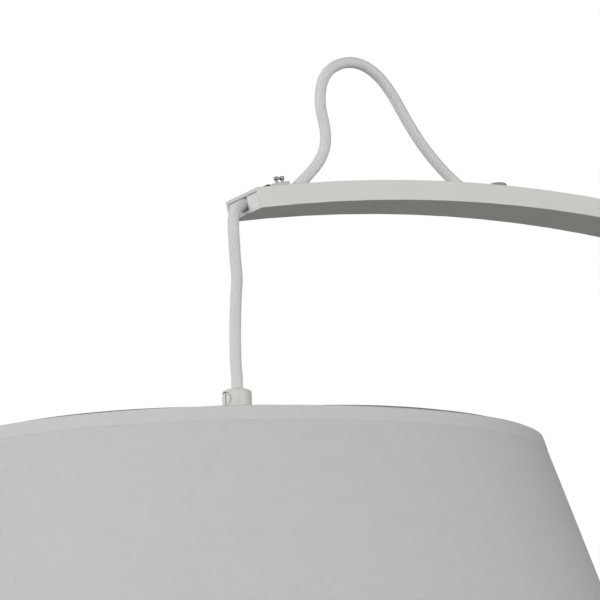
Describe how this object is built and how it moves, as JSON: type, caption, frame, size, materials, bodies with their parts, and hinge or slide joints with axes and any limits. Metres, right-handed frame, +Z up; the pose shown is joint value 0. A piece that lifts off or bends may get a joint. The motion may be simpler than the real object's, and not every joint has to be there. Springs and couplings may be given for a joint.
{
  "type": "arc floor lamp",
  "caption": "Arc floor lamp: a flat rectangular tube curves over from a round weighted base, and a tapered cloth shade hangs from its tip on a braided cord whose slack loops over the arm.",
  "frame": {"origin": "on the floor, at the centre of the round base's underside", "axes": "+Z up; the arm reaches towards -X; +Y across the tube's wide face"},
  "size_m": [1.513, 0.499, 1.976],
  "materials": {
    "powder_coat": "light warm-grey satin powder coat, fine orange-peel texture",
    "cast_weight": "raw cast",
    "underlay": "matt foam rubber",
    "zinc": "zinc plated",
    "screw_steel": "bright nickel plated",
    "cord_braid": "light grey textile braid",
    "black_rubber": "soft black rubber",
    "grey_plastic": "light grey moulded plastic",
    "pale_plastic": "pale grey moulded plastic, fine grain",
    "dark_plastic": "dark grey moulded plastic",
    "grip_plastic": "pale warm-grey plastic, smooth satin",
    "white_plastic": "white moulded plastic",
    "ceramic": "glazed porcelain",
    "brass": "plain brass",
    "frame_wire": "white epoxy coat",
    "shade_cloth": "neutral grey woven cloth on a stiff liner",
    "hem_cloth": "same cloth, folded over the rim",
    "bulb_metal": "plain aluminium",
    "bulb_opal": "opal glass"
  },
  "bodies": {
    "stand": {"base_underlay": "underlay", "base_weight": "cast_weight", "base_cover": "powder_coat", "base_bolts": "zinc", "base_washers": "zinc", "post_foot_bars": "zinc", "post_collar": "powder_coat", "post_tube": "powder_coat", "cable_gland": "black_rubber", "arc_tube_lower": "powder_coat", "arc_tube_upper": "powder_coat", "joint_bars_lower": "zinc", "joint_bars_upper": "zinc", "joint_screws": "screw_steel", "end_plugs": "pale_plastic", "rear_slot_liner": "grey_plastic", "anchor_screw": "dark_plastic", "clamp_body": "grey_plastic", "clamp_pad": "black_rubber", "inner_cable": "cord_braid", "cord_loop": "cord_braid"},
    "clamp_screw_front": {"clamp_screw_front": "screw_steel"},
    "clamp_screw_rear": {"clamp_screw_rear": "screw_steel"},
    "cord_bend": {"cord_flex": "cord_braid"},
    "cord_hang": {"cord_drop": "cord_braid"},
    "pendant": {"cord_tail": "cord_braid", "cord_grip": "grip_plastic", "grip_nipple": "zinc", "nipple_nut": "zinc", "holder_cap": "white_plastic", "holder_skirt": "white_plastic", "holder_core": "ceramic", "holder_shell": "brass", "holder_contact": "brass", "shade_frame_top": "frame_wire", "shade_ring_bottom": "frame_wire", "shade_fabric": "shade_cloth", "hem_top": "hem_cloth", "hem_bottom": "hem_cloth"},
    "grip_screw": {"grip_screw": "grip_plastic"},
    "shade_nut": {"shade_nut": "white_plastic"},
    "bulb": {"bulb_cap": "bulb_metal", "bulb_glass": "bulb_opal"}
  },
  "joints": [
    {"name": "swing_across", "type": "hinge", "parent": "stand", "child": "cord_bend", "pos_m": [-1.0935, 0, 1.8591], "axis": [1, 0, 0], "range_deg": [-15, 15]},
    {"name": "swing_along", "type": "hinge", "parent": "cord_bend", "child": "cord_hang", "pos_m": [-1.0935, 0, 1.8591], "axis": [0, 1, 0], "range_deg": [-15, 15]},
    {"name": "shade_height", "type": "slide", "parent": "cord_hang", "child": "pendant", "axis": [0, 0, 1], "range_m": [-0.085, 0.05], "deforming": ["cord_drop"]},
    {"name": "clamp_screw_front_turn", "type": "hinge", "parent": "stand", "child": "clamp_screw_front", "pos_m": [-1.06274, 0, 1.88567], "axis": [-0.1642, 0, 0.9864], "range_deg": [0, 540]},
    {"name": "clamp_screw_rear_turn", "type": "hinge", "parent": "stand", "child": "clamp_screw_rear", "pos_m": [-1.05899, 0, 1.8863], "axis": [-0.1642, 0, 0.9864], "range_deg": [0, 540]},
    {"name": "grip_screw_turn", "type": "hinge", "parent": "pendant", "child": "grip_screw", "pos_m": [-1.0935, 0, 1.7583], "axis": [-0.9903, -0.1392, 0], "range_deg": [0, 540]},
    {"name": "shade_nut_turn", "type": "hinge", "parent": "pendant", "child": "shade_nut", "pos_m": [-1.0935, 0, 1.7], "axis": [0, 0, -1], "range_deg": [0, 900]},
    {"name": "bulb_turn", "type": "hinge", "parent": "pendant", "child": "bulb", "pos_m": [-1.0935, 0, 1.68], "axis": [0, 0, -1], "range_deg": [0, 900]}
  ]
}
